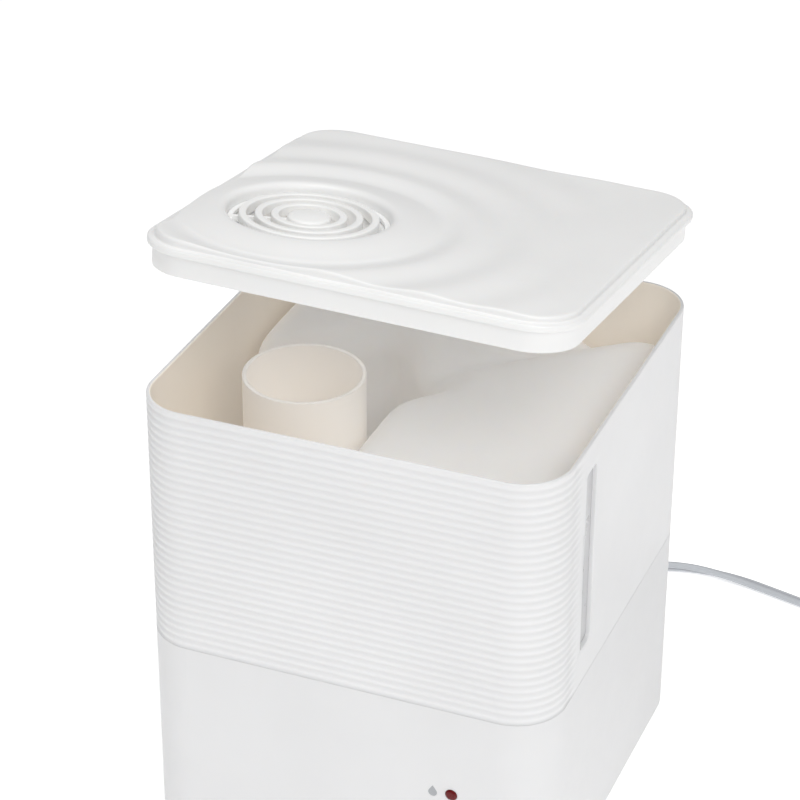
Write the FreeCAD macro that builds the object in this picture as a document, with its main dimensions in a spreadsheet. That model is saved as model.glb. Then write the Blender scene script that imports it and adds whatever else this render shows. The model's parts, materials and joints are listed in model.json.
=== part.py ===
import FreeCAD, Part
import math
import os
import re

import Sketcher

Vector = FreeCAD.Vector

# ---------------------------------------------------------------- driving sizes, in millimetres and degrees
SIZES = {
    # casing
    "width": 200,
    "depth": 200,
    "corner_radius": 24,
    "foot_height": 2,
    "split_height": 103.5,
    "rim_height": 227.5,
    "wall": 2,
    "base_wall": 2.2,
    "tongue_height": 4,
    "tongue_wall": 1.2,
    "tongue_gap": 0.3,
    "ledge_width": 6,
    "ledge_height": 4,
    "boss_inset": 12,
    "boss_radius": 4.5,
    # horizontal ribs round the front of the upper casing
    "rib_pitch": 3.98,
    "rib_depth": 0.5,
    "rib_cutter_radius": 1,
    "rib_inset": 1.31,
    "rib_wrap": 10,
    # level window in the right-hand wall
    "window_from_front": 47.4,
    "window_width": 13.8,
    "window_low": 122,
    "window_height": 91.5,
    "window_lap": 2,
    "pane_thickness": 1.4,
    # bottom cover and feet
    "cover_inset": 1,
    "cover_thickness": 2.6,
    "cover_gap": 0.3,
    "foot_radius": 7,
    "foot_inset": 26,
    "foot_recess": 1,
    "slot_width": 3,
    "slot_pitch": 5.5,
    # water basin
    "basin_seat": 70,
    "basin_gap": 0.3,
    "basin_wall": 1.6,
    "basin_floor": 2,
    "basin_top": 99,
    # mist tube and the chimney that feeds it with air
    "tube_x": -45,
    "tube_y": -32,
    "tube_radius": 28.3,
    "tube_wall": 1.9,
    "tube_top": 219.5,
    "collar_gap": 0.2,
    "collar_height": 8,
    "chimney_width": 26,
    "chimney_depth": 15,
    "chimney_wall": 1.6,
    "chimney_top": 118,
    "port_low": 99,
    "port_height": 14,
    "port_width": 18,
    # transducer
    "disc_radius": 10,
    "disc_thickness": 1.2,
    "seal_thickness": 2,
    # fan
    "fan_x": -45,
    "fan_y": 46,
    "fan_side": 50,
    "fan_height": 15,
    "fan_low": 10,
    "fan_bore": 23.5,
    "fan_hub": 10,
    "blade_gap": 0.8,
    "blade_count": 7,
    # tank
    "tank_gap": 6,
    "tank_bottom": 94,
    "tank_top": 209,
    "tank_wall": 1.6,
    "tank_edge": 14,
    "tank_edge_low": 4,
    "valley_radius": 26,
    "valley_depth": 12,
    # tank cap and valve
    "cap_x": 50,
    "cap_y": -45,
    "neck_radius": 17,
    "neck_wall": 2,
    "neck_length": 14,
    "cap_radius": 20,
    "cap_gap": 0.08,
    "cap_floor": 2.5,
    "seal_height": 1.5,
    "stem_radius": 1.8,
    "stem_drop": 1,
    "pin_gap": 0.2,
    "valve_gap": 0.05,
    "valve_disc": 5.5,
    "cage_radius": 8,
    "cage_wall": 1.2,
    "cage_height": 15,
    "pin_radius": 1.5,
    # float
    "float_inset": 24,
    "float_radius": 11,
    "float_height": 13,
    "post_radius": 2.5,
    "post_gap": 0.6,
    "post_height": 32,
    # lid, drawn closed and then swung up to the height at which it is held
    "lid_seat_gap": 0.1,
    "flange_thickness": 3,
    "step_height": 3,
    "step_inset": 3.6,
    "skirt_depth": 10,
    "skirt_inset": 2.6,
    "lid_wall": 2.4,
    "grille_radius": 36.5,
    "nozzle_gap": 1.2,
    "nozzle_wall": 1.5,
    "nozzle_overlap": 5,
    "lift_axis_reach": 395,
    "lift_axis_turn": -8.3,
    "lift_axis_below_rim": 3.5,
    "lid_open_angle": 8.37,
    # mist grille
    "ring_width": 3.4,
    "ring_pitch": 7.1,
    "ring_height": 4,
    "grille_disc": 9.7,
    "spoke_width": 1.6,
    "seat_ring_width": 2.6,
    # front controls
    "control_x": 55,
    "lamp_z": 58,
    "lamp_radius": 2.85,
    "icon_x": 46,
    "icon_size": 2.1,
    "icon_depth": 0.3,
    "dial_z": 29,
    "dial_radius": 12,
    "dial_height": 6.5,
    "dial_gap": 0.5,
    "shaft_radius": 3,
    "shaft_gap": 0.08,
    "board_thickness": 1.6,
    "screw_depth": 6,
    # mains lead
    "gland_x": 24,
    "gland_z": 24,
    "gland_hole": 6,
    "relief_length": 28,
    "cord_width": 6.2,
    "cord_thickness": 4,
    "coil_x": 200,
    "coil_y": 148.5,
    "coil_radius": 33,
    "coil_layers": 2,
    "plug_thickness": 13,
}

doc = FreeCAD.newDocument("humidifier")
sheet = doc.addObject("Spreadsheet::Sheet", "sizes")
for row, (alias, number) in enumerate(SIZES.items(), 1):
    sheet.set(f"A{row}", alias)
    sheet.set(f"B{row}", str(number))
    sheet.setAlias(f"B{row}", alias)
doc.recompute()

NODES = {}


def size(alias):
    """One driving size, read back from the sheet."""
    return float(sheet.get(alias))


def formula(text):
    """A formula in plain aliases, with each alias made a reference to the sheet."""
    words = lambda match: "sizes." + match[0] if match[0] in SIZES else match[0]
    return re.sub(r"[a-z_]+", words, str(text))


def bind(thing, **properties):
    """Tie each property of an object to a formula."""
    for name, text in properties.items():
        thing.setExpression(name, formula(text))


def place(thing, x=0, y=0, z=0):
    """Tie an object's position to three formulas."""
    for axis, text in zip("xyz", (x, y, z)):
        thing.setExpression(f"Placement.Base.{axis}", formula(text))


def node(thing, name):
    """Name a finished sub-part and keep it for the parts folder."""
    thing.Label = name
    NODES[name] = thing
    return thing


# ---------------------------------------------------------------- building blocks
def block(low, high):
    """A box between two corners, each a triple of formulas."""
    box = doc.addObject("Part::Box", "block")
    spans = [f"({top}) - ({bottom})" for bottom, top in zip(low, high)]
    bind(box, Length=spans[0], Width=spans[1], Height=spans[2])
    place(box, *low)
    return box


TURNS = {
    "Z": FreeCAD.Rotation(),
    "Y": FreeCAD.Rotation(Vector(1, 0, 0), -90),
    "X": FreeCAD.Rotation(Vector(0, 1, 0), 90),
}


def rod(centre, radius, length, along="Z"):
    """A cylinder that starts at a point and runs along one axis."""
    cylinder = doc.addObject("Part::Cylinder", "rod")
    cylinder.Placement = FreeCAD.Placement(Vector(), TURNS[along])
    bind(cylinder, Radius=radius, Height=length)
    place(cylinder, *centre)
    return cylinder


def fuse(*pieces):
    """The union of several objects."""
    union = doc.addObject("Part::MultiFuse", "fuse")
    union.Shapes = list(pieces)
    return union


def cut(base, *tools):
    """One object less the others."""
    result = doc.addObject("Part::Cut", "cut")
    result.Base = base
    result.Tool = tools[0] if len(tools) == 1 else fuse(*tools)
    return result


def plane_of(body, role):
    """One of a body's own origin planes or axes, by its role."""
    return next(item for item in body.Origin.OriginFeatures if item.Role == role)


def outline(body, role, corners, offset=0):
    """A closed polygon sketch whose corners are pinned by formulas."""
    sketch = body.newObject("Sketcher::SketchObject", "outline")
    sketch.AttachmentSupport = (plane_of(body, role), [""])
    sketch.MapMode = "FlatFace"
    sketch.setExpression(".AttachmentOffset.Base.z", formula(offset))
    count = len(corners)
    for index in range(count):
        angle = 2 * math.pi * index / count
        turned = 2 * math.pi * (index + 1) / count
        start = Vector(50 * math.cos(angle), 50 * math.sin(angle), 0)
        stop = Vector(50 * math.cos(turned), 50 * math.sin(turned), 0)
        sketch.addGeometry(Part.LineSegment(start, stop), False)
    for index in range(count):
        joint = Sketcher.Constraint("Coincident", index, 2, (index + 1) % count, 1)
        sketch.addConstraint(joint)
    for index, corner in enumerate(corners):
        for kind, text in zip(("DistanceX", "DistanceY"), corner):
            pin = sketch.addConstraint(Sketcher.Constraint(kind, -1, 1, index, 1, 10.0))
            sketch.setExpression(f"Constraints[{pin}]", formula(text))
    doc.recompute()
    return sketch


def prism(corners, low, high):
    """A padded polygon between two heights, as a body."""
    body = doc.addObject("PartDesign::Body", "prism")
    sketch = outline(body, "XY_Plane", corners, low)
    pad = body.newObject("PartDesign::Pad", "pad")
    pad.Profile = sketch
    bind(pad, Length=f"({high}) - ({low})")
    doc.recompute()
    return body


def round_edges(body, picked, radius):
    """Fillet the edges that a test picks on a body's tip."""
    tip = body.Tip
    names = [f"Edge{k}" for k, edge in enumerate(tip.Shape.Edges, 1) if picked(edge)]
    fillet = body.newObject("PartDesign::Fillet", "fillet")
    fillet.Base = (tip, names)
    bind(fillet, Radius=radius)
    doc.recompute()
    return fillet


def upright(edge):
    """Whether an edge is a straight line along Z."""
    ends = [vertex.Point for vertex in edge.Vertexes]
    if len(ends) != 2:
        return False
    run = ends[1] - ends[0]
    return abs(run.x) + abs(run.y) < 1e-6 and isinstance(edge.Curve, (Part.Line, Part.LineSegment))


def rounded_block(inset, low, high):
    """The casing's plan, drawn in by an inset all round, between two heights."""
    half_x = f"width / 2 - ({inset})"
    half_y = f"depth / 2 - ({inset})"
    corners = [(f"-({half_x})", f"-({half_y})"), (half_x, f"-({half_y})"),
               (half_x, half_y), (f"-({half_x})", half_y)]
    body = prism(corners, low, high)
    round_edges(body, upright, f"corner_radius - ({inset})")
    return body


def lathe(profile, centre, along="Z"):
    """A closed profile of (radius, height) formulas turned round an axis through a point."""
    body = doc.addObject("PartDesign::Body", "turned")
    sketch = outline(body, "XZ_Plane", profile)
    turn = body.newObject("PartDesign::Revolution", "turn")
    turn.Profile = sketch
    turn.ReferenceAxis = (sketch, ["V_Axis"])
    turn.Angle = 360
    body.Placement = FreeCAD.Placement(Vector(), TURNS[along])
    place(body, *centre)
    doc.recompute()
    return body


def tube(inner, outer, low, high):
    """The profile of a plain ring between two radii and two heights."""
    return [(inner, low), (outer, low), (outer, high), (inner, high)]


def solid(shape):
    """A shape that no parametric feature makes, as an object of the document."""
    feature = doc.addObject("Part::Feature", "solid")
    feature.Shape = shape
    return feature


def ring_of(count, make, first_angle=0.0):
    """Copies of a shape made at equal angles round the circle, as a list."""
    return [make(first_angle + 360.0 * k / count) for k in range(count)]


def four_corners(inset):
    """The four plan points at one inset from both side walls."""
    x = f"(width / 2 - {inset})"
    y = f"(depth / 2 - {inset})"
    return [(f"-{x}", f"-{y}"), (x, f"-{y}"), (x, y), (f"-{x}", y)]


# ---------------------------------------------------------------- heights that several pieces share
COVER_LOW = "foot_height + cover_inset"
COVER_TOP = f"({COVER_LOW} + cover_thickness)"
FLOOR_TOP = "(basin_seat + basin_floor)"
NECK_LOW = "(tank_bottom - neck_length)"
CAP_INSIDE = f"({NECK_LOW} - seal_height)"
CAP_LOW = f"({CAP_INSIDE} - cap_floor)"
STEM_LOW = f"({CAP_LOW} - stem_drop)"
LID_LOW = "(rim_height + lid_seat_gap)"
FLANGE_TOP = f"({LID_LOW} + flange_thickness)"
LID_TOP = f"({FLANGE_TOP} + step_height)"
FLOAT_X = "(float_inset - width / 2)"
FLOAT_Y = "(float_inset - depth / 2)"
CHIMNEY_NEAR = "(tube_y + tube_radius + 0.5)"
FRONT = "(-depth / 2)"
FRONT_INSIDE = "(-depth / 2 + base_wall)"
BACK = "(depth / 2)"


# ---------------------------------------------------------------- casing
def droplet(grow, deep):
    """A drop-shaped plate on the front face: a round bottom under a pointed top."""
    radius = size("icon_size") + grow
    centre = Vector(size("icon_x"), -size("depth") / 2, size("lamp_z") - 0.4 * radius)
    lean = math.radians(35)
    right = centre + Vector(radius * math.cos(lean), 0, radius * math.sin(lean))
    left = centre + Vector(-radius * math.cos(lean), 0, radius * math.sin(lean))
    tip = centre + Vector(0, 0, radius / math.sin(lean))
    low = centre - Vector(0, 0, radius)
    edges = [Part.Arc(right, low, left).toShape(), Part.makeLine(left, tip), Part.makeLine(tip, right)]
    return Part.Face(Part.Wire(edges)).extrude(Vector(0, deep, 0))


def base_housing():
    """Lower shell: walls, a ledge for the basin, a tongue for the upper casing, bosses and holes."""
    shell = rounded_block(0, "foot_height", "split_height")
    tongue = rounded_block("wall + tongue_gap", "split_height - 3", "split_height + tongue_height")
    bay = rounded_block("base_wall", "foot_height - 1", "basin_seat - ledge_height")
    ledge = rounded_block("base_wall + ledge_width", "foot_height - 1", "basin_seat")
    well = rounded_block("base_wall", "basin_seat", "split_height - 3")
    neck = rounded_block("wall + tongue_gap + tongue_wall", "basin_seat", "split_height + tongue_height + 1")
    hollow = cut(fuse(shell, tongue), bay, ledge, well, neck)
    boss_length = f"basin_seat - ledge_height / 2 - {COVER_TOP}"
    bosses = [rod((x, y, COVER_TOP), "boss_radius", boss_length) for x, y in four_corners("boss_inset")]
    posts = [rod((f"control_x + {dx}", FRONT_INSIDE, z), 2, 14, "Y")
             for dx, z in ((-11, "dial_z - 7"), (11, "lamp_z - 4"))]
    pilots = [rod((x, y, f"{COVER_TOP} - 1"), 1.3, 21) for x, y in four_corners("boss_inset")]
    holes = [
        rod(("control_x", f"{FRONT} - 1", "lamp_z"), "lamp_radius + 0.05", "base_wall + 2", "Y"),
        rod(("control_x", f"{FRONT} - 1", "dial_z"), "shaft_radius + 0.6", "base_wall + 2", "Y"),
        rod(("gland_x", f"{BACK} - base_wall - 1", "gland_z"), "gland_hole", "base_wall + 2", "Y"),
        solid(droplet(0.02, size("icon_depth"))),
    ]
    return node(cut(fuse(hollow, *bosses, *posts), *pilots, *holes), "base_housing")


def rib_grooves():
    """Round-bottomed grooves at an even pitch, along the front and round its two corners."""
    half_x = size("width") / 2
    half_y = size("depth") / 2
    corner = size("corner_radius")
    cutter = size("rib_cutter_radius")
    out = cutter - size("rib_depth")
    wrap = size("rib_wrap")
    bend = corner + out
    centre_x = half_x - corner
    centre_y = corner - half_y
    up = Vector(0, 0, 1)
    top = size("rim_height") - size("rib_pitch") / 2 - size("rib_inset")
    count = int((top - size("split_height") - cutter) / size("rib_pitch")) + 1
    grooves = []
    for k in range(count):
        level = top - k * size("rib_pitch")
        front = Part.makeCylinder(cutter, 2 * centre_x, Vector(-centre_x, -half_y - out, level), Vector(1, 0, 0))
        pieces = [front]
        for side, first in ((1, -90), (-1, 180)):
            elbow = Part.makeTorus(bend, cutter, Vector(), up, 0, 360, 90)
            elbow.rotate(Vector(), up, first)
            elbow.translate(Vector(side * centre_x, centre_y, level))
            start = Vector(side * (half_x + out), centre_y, level)
            pieces += [elbow, Part.makeCylinder(cutter, wrap, start, Vector(0, 1, 0))]
        grooves.append(Part.makeCompound(pieces))
    return Part.makeCompound(grooves)


def upper_casing():
    """Upper shell, open at both ends, with the ribbed front and the window's slot."""
    shell = rounded_block(0, "split_height", "rim_height")
    inside = rounded_block("wall", "split_height - 1", "rim_height + 1")
    slot = block(("width / 2 - wall - 1", "window_from_front - depth / 2 - window_width / 2", "window_low"),
                 ("width / 2 + 1", "window_from_front - depth / 2 + window_width / 2", "window_low + window_height"))
    return node(cut(shell, inside, slot, solid(rib_grooves())), "upper_casing")


def level_window():
    """Clear pane behind the slot, lapping it all round."""
    low = ("width / 2 - wall - pane_thickness", "window_from_front - depth / 2 - window_width / 2 - window_lap",
           "window_low - window_lap")
    high = ("width / 2 - wall", "window_from_front - depth / 2 + window_width / 2 + window_lap",
            "window_low + window_height + window_lap")
    return node(block(low, high), "level_window")


def bottom_cover():
    """Plate inside the base's lower edge, with intake slots, foot recesses and standoffs."""
    plate = rounded_block("base_wall + cover_gap", COVER_LOW, COVER_TOP)
    standoffs = [rod((f"fan_x + {sx * 21}", f"fan_y + {sy * 21}", COVER_TOP), 2,
                     f"fan_low - {COVER_TOP}") for sx in (-1, 1) for sy in (-1, 1)]
    pillars = [rod((x, y, COVER_TOP), 2.5, 8) for x, y in board_pillars()]
    slots = [block((f"fan_x - 16", f"fan_y + {k} * slot_pitch - slot_width / 2", f"{COVER_LOW} - 1"),
                   (f"fan_x + 16", f"fan_y + {k} * slot_pitch + slot_width / 2", f"{COVER_TOP} + 1"))
             for k in range(-3, 4)]
    recesses = [rod((x, y, f"{COVER_LOW} - 1"), "foot_radius + 0.1", "foot_recess + 1")
                for x, y in four_corners("foot_inset")]
    holes = [rod((x, y, f"{COVER_LOW} - 1"), 1.7, "cover_thickness + 2")
             for x, y in four_corners("boss_inset")]
    sinks = [rod((x, y, f"{COVER_LOW} - 1"), 3.2, 2.2) for x, y in four_corners("boss_inset")]
    solid_plate = fuse(plate, *standoffs, *pillars)
    return node(cut(solid_plate, *slots, *recesses, *holes, *sinks, *board_bores()), "bottom_cover")


def rubber_feet():
    """Four pads let into the bottom cover."""
    pads = [rod((x, y, 0), "foot_radius", f"{COVER_LOW} + foot_recess")
            for x, y in four_corners("foot_inset")]
    return node(fuse(*pads), "rubber_feet")


def bottom_screws():
    """Four screws from the bottom cover into the base's bosses."""
    screws = []
    for x, y in four_corners("boss_inset"):
        profile = [("0", "0.2"), ("3", "0.2"), ("3", "1.2"), ("1.25", "1.2"), ("1.25", "14"), ("0", "14")]
        screws.append(lathe(profile, (x, y, COVER_LOW)))
    return node(fuse(*screws), "bottom_screws")


# ---------------------------------------------------------------- basin, tube and transducer
def tube_notches():
    """Two cutters across the foot of the tube, where water runs in to the transducer."""
    return [block(("tube_x - tube_radius - 1", f"tube_y + ({y}) - 3.5", FLOOR_TOP),
                  ("tube_x + tube_radius + 1", f"tube_y + ({y}) + 3.5", f"{FLOOR_TOP} + 6")) for y in (-12, 10)]


def flue(low, high):
    """The shaft that carries the fan's air up behind the tube, between two heights."""
    return block(("tube_x - chimney_width / 2 + chimney_wall", f"{CHIMNEY_NEAR} + chimney_wall", low),
                 ("tube_x + chimney_width / 2 - chimney_wall",
                  f"{CHIMNEY_NEAR} + chimney_depth - chimney_wall", high))


def water_basin():
    """Tray under the tank, with a hole over the transducer and one for the air."""
    inset = "wall + tongue_gap + tongue_wall + basin_gap"
    tray = cut(rounded_block(inset, "basin_seat", "basin_top"),
               rounded_block(f"{inset} + basin_wall", FLOOR_TOP, "basin_top + 1"))
    eye = rod(("tube_x", "tube_y", "basin_seat - 1"), "disc_radius - 2", "basin_floor + 2")
    return node(cut(tray, eye, flue("basin_seat - 1", f"{FLOOR_TOP} + 1")), "water_basin")


def basin_fittings():
    """What stands on the tray's floor: the tube's collar, the air chimney and the posts."""
    collar = lathe(tube("tube_radius - tube_wall - collar_gap - 1.5", "tube_radius - tube_wall - collar_gap",
                        FLOOR_TOP, f"{FLOOR_TOP} + collar_height"), ("tube_x", "tube_y", 0))
    node(cut(collar, *tube_notches()), "tube_collar")
    stack = block(("tube_x - chimney_width / 2", CHIMNEY_NEAR, FLOOR_TOP),
                  ("tube_x + chimney_width / 2", f"{CHIMNEY_NEAR} + chimney_depth", "chimney_top"))
    mouth = block(("tube_x - port_width / 2", f"{CHIMNEY_NEAR} - 1", "port_low"),
                  ("tube_x + port_width / 2", f"{CHIMNEY_NEAR} + chimney_wall + 1", "port_low + port_height"))
    shaft = flue(f"{FLOOR_TOP} - 1", "chimney_top - chimney_wall")
    node(cut(stack, shaft, mouth), "air_chimney")
    places = (("width / 2 - 18", "60 - depth / 2"), ("width / 2 - 18", "depth / 2 - 50"),
              ("18", "38 - depth / 2"), ("30", "depth / 2 - 40"), ("-30", "depth / 2 - 28"),
              ("18 - width / 2", "depth / 2 - 40"))
    supports = [block((f"{x} - 2", f"{y} - 9", FLOOR_TOP), (f"{x} + 2", f"{y} + 9", "tank_bottom"))
                for x, y in places]
    node(fuse(*supports), "tank_supports")
    node(rod(("cap_x", "cap_y", FLOOR_TOP), "pin_radius", f"{STEM_LOW} - pin_gap - {FLOOR_TOP}"), "valve_pin")
    node(rod((FLOAT_X, FLOAT_Y, FLOOR_TOP), "post_radius", "post_height"), "float_post")


def mist_tube():
    """Straight chimney over the transducer, with water notches below and an air port behind."""
    pipe = lathe(tube("tube_radius - tube_wall", "tube_radius", f"{FLOOR_TOP} + 0.1", "tube_top"),
                 ("tube_x", "tube_y", 0))
    port = block(("tube_x - port_width / 2", "tube_y", "port_low"),
                 ("tube_x + port_width / 2", "tube_y + tube_radius + 1", "port_low + port_height"))
    return node(cut(pipe, port, *tube_notches()), "mist_tube")


def transducer():
    """Ultrasonic disc, its rubber seal, the clamp ring below them and the clamp's screws."""
    centre = ("tube_x", "tube_y", 0)
    seal_low = "(basin_seat - seal_thickness)"
    disc_low = f"({seal_low} - disc_thickness)"
    seal = lathe(tube("disc_radius - 3", "disc_radius + 2", seal_low, "basin_seat"), centre)
    disc = lathe([("0", disc_low), ("disc_radius", disc_low), ("disc_radius", seal_low), ("0", seal_low)],
                 centre)
    ring = lathe([("disc_radius - 3", f"{disc_low} - 2.5"), ("disc_radius + 8", f"{disc_low} - 2.5"),
                  ("disc_radius + 8", "basin_seat"), ("disc_radius + 2.2", "basin_seat"),
                  ("disc_radius + 2.2", disc_low), ("disc_radius - 3", disc_low)], centre)
    angles = [math.radians(30 + 120 * k) for k in range(3)]
    places = [(f"tube_x + {15.2 * math.cos(a):.4f}", f"tube_y + {15.2 * math.sin(a):.4f}") for a in angles]
    bores = [rod((x, y, f"{disc_low} - 4"), 1.2, 12) for x, y in places]
    screws = [lathe([("0", "-1.6"), ("2.4", "-1.6"), ("2.4", "0"), ("1.15", "0"), ("1.15", "5.6"),
                     ("0", "5.6")], (x, y, f"{disc_low} - 2.5")) for x, y in places]
    node(seal, "transducer_seal")
    node(disc, "transducer_disc")
    node(cut(ring, *bores), "transducer_clamp")
    node(fuse(*screws), "clamp_screws")


def float_parts():
    """Ring float on its post, the magnet inside it, the stop on the post and the sensor below."""
    centre = (FLOAT_X, FLOAT_Y, 0)
    low = f"({FLOOR_TOP} + 2)"
    bore = "post_radius + post_gap"
    body = [(bore, f"{low} + 3.2"), (f"{bore} + 3.1", f"{low} + 3.2"), (f"{bore} + 3.1", low),
            ("float_radius - 1.5", low), ("float_radius", f"{low} + 1.5"),
            ("float_radius", f"{low} + float_height - 1.5"),
            ("float_radius - 1.5", f"{low} + float_height"), (bore, f"{low} + float_height")]
    node(lathe(body, centre), "float_ring")
    node(lathe(tube(bore, f"{bore} + 3", f"{low} + 0.2", f"{low} + 3.2"), centre), "float_magnet")
    stop = tube("post_radius", "post_radius + 2.5", f"{FLOOR_TOP} + post_height - 2",
                f"{FLOOR_TOP} + post_height")
    node(lathe(stop, centre), "float_stop")
    sensor = block((f"{FLOAT_X} - 8", f"{FLOAT_Y} - 5", "basin_seat - 1.2"),
                   (f"{FLOAT_X} + 8", f"{FLOAT_Y} + 5", "basin_seat"))
    node(sensor, "level_sensor")


# ---------------------------------------------------------------- air path
def fan_parts():
    """Fan frame with its struts, the rotor, the duct above and the foam filter below."""
    top = "(fan_low + fan_height)"
    half = "fan_side / 2"
    frame = block((f"fan_x - {half}", f"fan_y - {half}", "fan_low"), (f"fan_x + {half}", f"fan_y + {half}", top))
    bore = rod(("fan_x", "fan_y", "fan_low - 1"), "fan_bore", "fan_height + 2")
    struts = [block((f"fan_x - {half} + 1", "fan_y - 1.2", "fan_low"), (f"fan_x + {half} - 1", "fan_y + 1.2", "fan_low + 2")),
              block(("fan_x - 1.2", f"fan_y - {half} + 1", "fan_low"), ("fan_x + 1.2", f"fan_y + {half} - 1", "fan_low + 2"))]
    motor = rod(("fan_x", "fan_y", "fan_low"), "fan_hub - 1", 2)
    spindle = rod(("fan_x", "fan_y", "fan_low"), 1.5, 8)
    node(fuse(cut(frame, bore), *struts, motor, spindle), "fan_frame")

    centre = Vector(size("fan_x"), size("fan_y"), size("fan_low") + 2.6)
    hub = size("fan_hub")
    reach = size("fan_bore") - size("blade_gap")
    tall = size("fan_height") - 4
    barrel = Part.makeCylinder(hub, tall, centre)
    swept = Part.makeCylinder(reach, tall, centre)

    def blade(angle):
        plate = Part.makeBox(reach - hub + 3, 1.2, tall * 1.6, Vector(hub - 2, -0.6, -tall * 0.8))
        plate.rotate(Vector(), Vector(1, 0, 0), 42)
        plate.translate(Vector(0, 0, tall / 2))
        plate.rotate(Vector(), Vector(0, 0, 1), angle)
        plate.translate(centre)
        return plate.common(swept)

    rotor = barrel.fuse(ring_of(int(size("blade_count")), blade))
    node(solid(rotor.cut(Part.makeCylinder(1.55, 6.2, centre))), "fan_rotor")

    flue_y = f"({CHIMNEY_NEAR} + chimney_depth / 2)"
    body = doc.addObject("PartDesign::Body", "duct")
    levels = [(f"{top}", "fan_x", "fan_y", "fan_side / 2 - 1", "fan_side / 2 - 1"),
              ("basin_seat", "tube_x", flue_y, "chimney_width / 2", "chimney_depth / 2")]
    for kind, skin in (("PartDesign::AdditiveLoft", "0"), ("PartDesign::SubtractiveLoft", "1.6")):
        rings = []
        for level, x, y, half_x, half_y in levels:
            spread = [(-1, -1), (1, -1), (1, 1), (-1, 1)]
            corners = [(f"{x} + ({sx}) * ({half_x} - {skin})", f"{y} + ({sy}) * ({half_y} - {skin})")
                       for sx, sy in spread]
            rings.append(outline(body, "XY_Plane", corners, level))
        loft = body.newObject(kind, "loft")
        loft.Profile = rings[0]
        loft.Sections = [rings[1]]
        doc.recompute()
    node(body, "air_duct")

    foam = block(("fan_x - 18", "fan_y - 18", COVER_TOP), ("fan_x + 18", "fan_y + 18", f"{COVER_TOP} + 3"))
    node(foam, "intake_filter")


# ---------------------------------------------------------------- electronics
DRIVER_BOARD = (-20, 30, -72, -32)
POWER_BOARD = (10, 80, 20, 76)


def board_pillars():
    """Plan points of the pillars under the two level boards, in from their corners."""
    return [(x, y) for x0, x1, y0, y1 in (DRIVER_BOARD, POWER_BOARD)
            for x in (x0 + 4, x1 - 4) for y in (y0 + 4, y1 - 4)]


def board_bores():
    """Holes for the board screws, through the boards and into the pillars."""
    return [rod((x, y, f"{COVER_TOP} + 8 - screw_depth"), 1.25, "screw_depth + board_thickness + 1")
            for x, y in board_pillars()]


def electronics():
    """Driver board with its heat sink, power board with its transformer and capacitor."""
    low = f"({COVER_TOP} + 8)"
    top = f"({low} + board_thickness)"
    for name, (x0, x1, y0, y1) in (("driver_board", DRIVER_BOARD), ("power_board", POWER_BOARD)):
        node(cut(block((x0, y0, low), (x1, y1, top)), *board_bores()), name)
    base = block((-12, -64, top), (22, -40, f"{top} + 3"))
    fins = [block((-12 + 5.8 * k, -64, f"{top} + 2"), (-12 + 5.8 * k + 1.6, -40, f"{top} + 18")) for k in range(6)]
    node(fuse(base, *fins), "heat_sink")
    core = block((20, 34, top), (50, 62, f"{top} + 22"))
    winding = block((24, 29, f"{top} + 2"), (46, 67, f"{top} + 19"))
    node(fuse(core, winding), "transformer")
    node(rod((66, 48, top), 7, 20), "smoothing_capacitor")
    screws = [lathe([("0", "-screw_depth + 0.2"), ("1.2", "-screw_depth + 0.2"), ("1.2", "board_thickness"), ("2.4", "board_thickness"),
                     ("2.4", "board_thickness + 1.5"), ("0", "board_thickness + 1.5")], (x, y, low))
              for x, y in board_pillars()]
    return screws


def controls():
    """Board behind the front wall with the lamp and the regulator, and the dial outside."""
    board_y = f"({FRONT_INSIDE} + 14)"
    node(block(("control_x - 15", board_y, "dial_z - 11"),
               ("control_x + 15", f"{board_y} + board_thickness", "lamp_z + 4")), "control_board")
    lens = [("0", "0"), ("lamp_radius + 1", "0"), ("lamp_radius + 1", "1"), ("lamp_radius", "1"),
            ("lamp_radius", "base_wall + 1.2"), ("lamp_radius * 0.7", "base_wall + 1.8"),
            ("0", "base_wall + 2")]
    shell = lathe(lens, ("control_x", f"{FRONT_INSIDE} + 1", "lamp_z"), "Y")
    shell.Placement = FreeCAD.Placement(Vector(), FreeCAD.Rotation(Vector(1, 0, 0), 90))
    place(shell, "control_x", f"{FRONT_INSIDE} + 1", "lamp_z")
    node(shell, "lamp_lens")
    node(rod(("control_x", f"{FRONT_INSIDE} + 1.2", "lamp_z"), 2, "12.8", "Y"), "lamp_led")
    can = rod(("control_x", f"{FRONT_INSIDE} + 3", "dial_z"), 8, 11, "Y")
    bore = rod(("control_x", f"{FRONT_INSIDE} + 2", "dial_z"), "shaft_radius + shaft_gap", 9, "Y")
    node(cut(can, bore), "regulator")
    node(solid(droplet(0, size("icon_depth"))), "droplet_icon")


def control_dial():
    """Knurled dial on its shaft, with a pointer groove."""
    tall = size("dial_height")
    radius = size("dial_radius")
    face = Vector(size("control_x"), -size("depth") / 2 - size("dial_gap"), size("dial_z"))
    out = Vector(0, -1, 0)
    knob = Part.makeCone(radius, radius - 1.2, tall, face, out)
    knob = knob.makeFillet(1.0, [edge for edge in knob.Edges
                                 if abs(edge.CenterOfMass.y - (face.y - tall)) < 0.01])
    depth_in = size("dial_gap") + size("base_wall") + 10
    shaft = Part.makeCylinder(size("shaft_radius"), depth_in, face, Vector(0, 1, 0))
    pointer = Part.makeBox(1.4, 1.0, radius * 0.55, face + Vector(-0.7, -tall - 0.4, radius * 0.3))

    def flute(angle):
        bar = Part.makeCylinder(1.0, tall - 2.5, face + Vector(radius + 0.55, 0, 0), out)
        bar.rotate(face, Vector(0, 1, 0), angle)
        return bar

    return node(solid(knob.fuse(shaft).cut(ring_of(24, flute) + [pointer])), "control_dial")


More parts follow.
